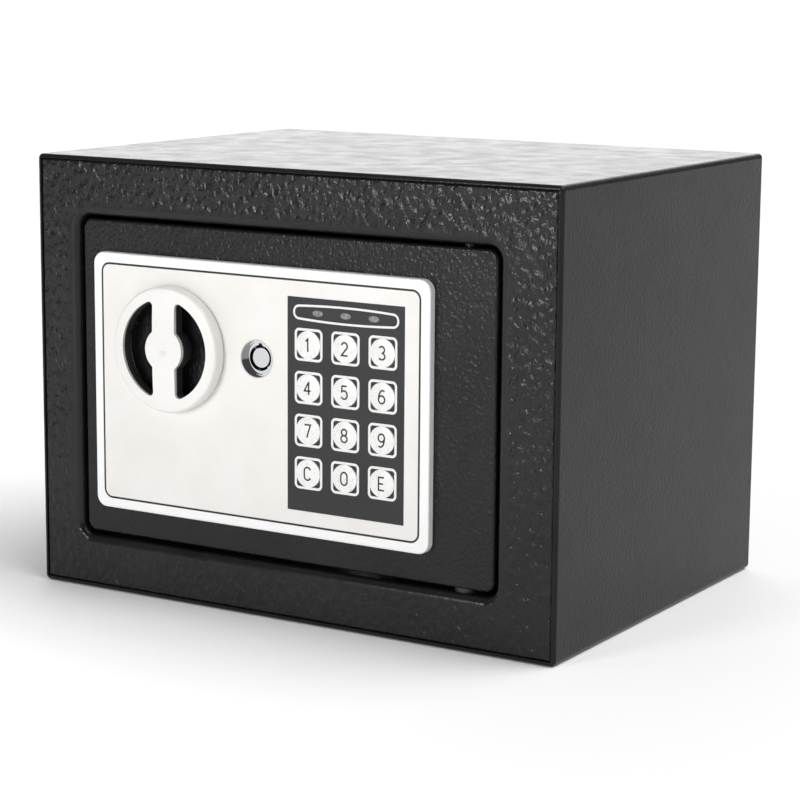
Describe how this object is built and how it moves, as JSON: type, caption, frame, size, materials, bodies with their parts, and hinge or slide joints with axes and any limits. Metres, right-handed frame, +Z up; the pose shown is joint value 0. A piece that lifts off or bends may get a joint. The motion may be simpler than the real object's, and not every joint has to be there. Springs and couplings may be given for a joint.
{
  "type": "electronic home safe",
  "caption": "Small steel home safe with a hinged door, knob-thrown side bolts, push-button keypad, key lock and battery-powered latch.",
  "frame": {"origin": "middle of the underside of the body, which is centred on it in X and Y", "axes": "+X to the right seen from the front, +Y to the back, +Z up"},
  "size_m": [0.23, 0.1771, 0.17],
  "materials": {
    "black_steel": "fine leather-grain powder coat, semi-gloss",
    "black_frame": "coarse leather-grain powder coat, semi-gloss",
    "black_door": "fine leather-grain powder coat, semi-gloss",
    "zinc_steel": "zinc plated, satin",
    "bolt_steel": "bright nickel plate",
    "lock_chrome": "polished chrome",
    "silver_plastic": "fine-textured silver paint on ABS",
    "key_silver": "satin silver",
    "black_plastic": "moulded, satin",
    "keypad_black": "printed film, satin",
    "lens_grey": "diffusing lens, unlit",
    "board_green": "solder-masked laminate",
    "ribbon_white": "film",
    "coil_copper": "enamelled winding",
    "lead_red": "insulation",
    "reset_red": "moulded",
    "cell_jacket": "printed sleeve, plain",
    "mat_felt": "needle felt"
  },
  "bodies": {
    "body": {"body_shell": "black_steel", "back_panel": "black_steel", "front_frame": "black_frame", "hinge_brackets": "black_steel", "hinge_spacer": "black_plastic", "floor_mat": "mat_felt"},
    "door": {"door_plate": "black_door", "hinge_lugs": "black_door", "hinge_pins": "black_door", "facia": "silver_plastic", "facia_clips": "zinc_steel", "keypad_panel": "keypad_black", "indicator_lenses": "lens_grey", "keypad_spacer": "keypad_black", "key_domes": "zinc_steel", "keypad_board": "board_green", "keypad_ribbon": "ribbon_white", "lock_escutcheon": "lock_chrome", "lock_barrel": "lock_chrome", "lock_nut": "zinc_steel", "spindle_bush": "black_plastic", "bolt_guide": "black_door", "guide_post": "zinc_steel", "solenoid_frame": "zinc_steel", "solenoid_coil": "coil_copper", "plunger_spring": "zinc_steel", "control_board": "board_green", "board_parts": "black_plastic", "board_standoffs": "black_plastic", "lock_cover": "black_door", "cover_posts": "zinc_steel", "cover_screws": "zinc_steel", "battery_tray": "black_plastic", "battery_contacts": "zinc_steel", "batteries": "cell_jacket", "inner_leads": "lead_red"},
    "knob": {"knob_face": "silver_plastic", "knob_core": "black_plastic", "knob_spindle": "zinc_steel", "crank": "zinc_steel"},
    "bolts": {"bolt_carriage": "zinc_steel", "latch_tooth": "zinc_steel", "locking_bolts": "bolt_steel"},
    "latch": {"plunger": "zinc_steel"},
    "key_plug": {"lock_plug": "lock_chrome", "lock_cam": "zinc_steel"},
    "reset": {"reset_button": "reset_red"},
    "battery_lid": {"battery_cover": "black_plastic"},
    "button_1": {"key_1": "key_silver"},
    "button_2": {"key_2": "key_silver"},
    "button_3": {"key_3": "key_silver"},
    "button_4": {"key_4": "key_silver"},
    "button_5": {"key_5": "key_silver"},
    "button_6": {"key_6": "key_silver"},
    "button_7": {"key_7": "key_silver"},
    "button_8": {"key_8": "key_silver"},
    "button_9": {"key_9": "key_silver"},
    "button_c": {"key_c": "key_silver"},
    "button_0": {"key_0": "key_silver"},
    "button_e": {"key_e": "key_silver"}
  },
  "joints": [
    {"name": "door_swing", "type": "hinge", "parent": "body", "child": "door", "pos_m": [0.075, -0.0773, 0.08435], "axis": [0, 0, 1], "range_deg": [0, 100]},
    {"name": "knob_turn", "type": "hinge", "parent": "door", "child": "knob", "pos_m": [-0.05, -0.0914, 0.09925], "axis": [0, -1, 0], "range_deg": [0, 90]},
    {"name": "bolt_slide", "type": "slide", "parent": "door", "child": "bolts", "axis": [-1, 0, 0], "range_m": [0, 0.01301]},
    {"name": "latch_slide", "type": "slide", "parent": "door", "child": "latch", "axis": [0, 0, 1], "range_m": [0, 0.0036], "stiffness_N_per_m": 60, "springref_m": 0.0055, "deforming": ["plunger_spring"]},
    {"name": "key_turn", "type": "hinge", "parent": "door", "child": "key_plug", "pos_m": [-0.0112, -0.083, 0.09885], "axis": [0, 1, 0], "range_deg": [-90, 0]},
    {"name": "reset_press", "type": "slide", "parent": "door", "child": "reset", "axis": [0, -1, 0], "range_m": [0, 0.001], "stiffness_N_per_m": 600},
    {"name": "battery_lid_slide", "type": "slide", "parent": "door", "child": "battery_lid", "axis": [0, 0, 1], "range_m": [0, 0.008]},
    {"name": "press_1", "type": "slide", "parent": "door", "child": "button_1", "axis": [0, 1, 0], "range_m": [0, 0.0005], "stiffness_N_per_m": 800},
    {"name": "press_2", "type": "slide", "parent": "door", "child": "button_2", "axis": [0, 1, 0], "range_m": [0, 0.0005], "stiffness_N_per_m": 800},
    {"name": "press_3", "type": "slide", "parent": "door", "child": "button_3", "axis": [0, 1, 0], "range_m": [0, 0.0005], "stiffness_N_per_m": 800},
    {"name": "press_4", "type": "slide", "parent": "door", "child": "button_4", "axis": [0, 1, 0], "range_m": [0, 0.0005], "stiffness_N_per_m": 800},
    {"name": "press_5", "type": "slide", "parent": "door", "child": "button_5", "axis": [0, 1, 0], "range_m": [0, 0.0005], "stiffness_N_per_m": 800},
    {"name": "press_6", "type": "slide", "parent": "door", "child": "button_6", "axis": [0, 1, 0], "range_m": [0, 0.0005], "stiffness_N_per_m": 800},
    {"name": "press_7", "type": "slide", "parent": "door", "child": "button_7", "axis": [0, 1, 0], "range_m": [0, 0.0005], "stiffness_N_per_m": 800},
    {"name": "press_8", "type": "slide", "parent": "door", "child": "button_8", "axis": [0, 1, 0], "range_m": [0, 0.0005], "stiffness_N_per_m": 800},
    {"name": "press_9", "type": "slide", "parent": "door", "child": "button_9", "axis": [0, 1, 0], "range_m": [0, 0.0005], "stiffness_N_per_m": 800},
    {"name": "press_c", "type": "slide", "parent": "door", "child": "button_c", "axis": [0, 1, 0], "range_m": [0, 0.0005], "stiffness_N_per_m": 800},
    {"name": "press_0", "type": "slide", "parent": "door", "child": "button_0", "axis": [0, 1, 0], "range_m": [0, 0.0005], "stiffness_N_per_m": 800},
    {"name": "press_e", "type": "slide", "parent": "door", "child": "button_e", "axis": [0, 1, 0], "range_m": [0, 0.0005], "stiffness_N_per_m": 800}
  ],
  "couplings": [
    {"joint": "knob_turn", "follows": "bolt_slide", "rad_per_m": 120.73}
  ]
}
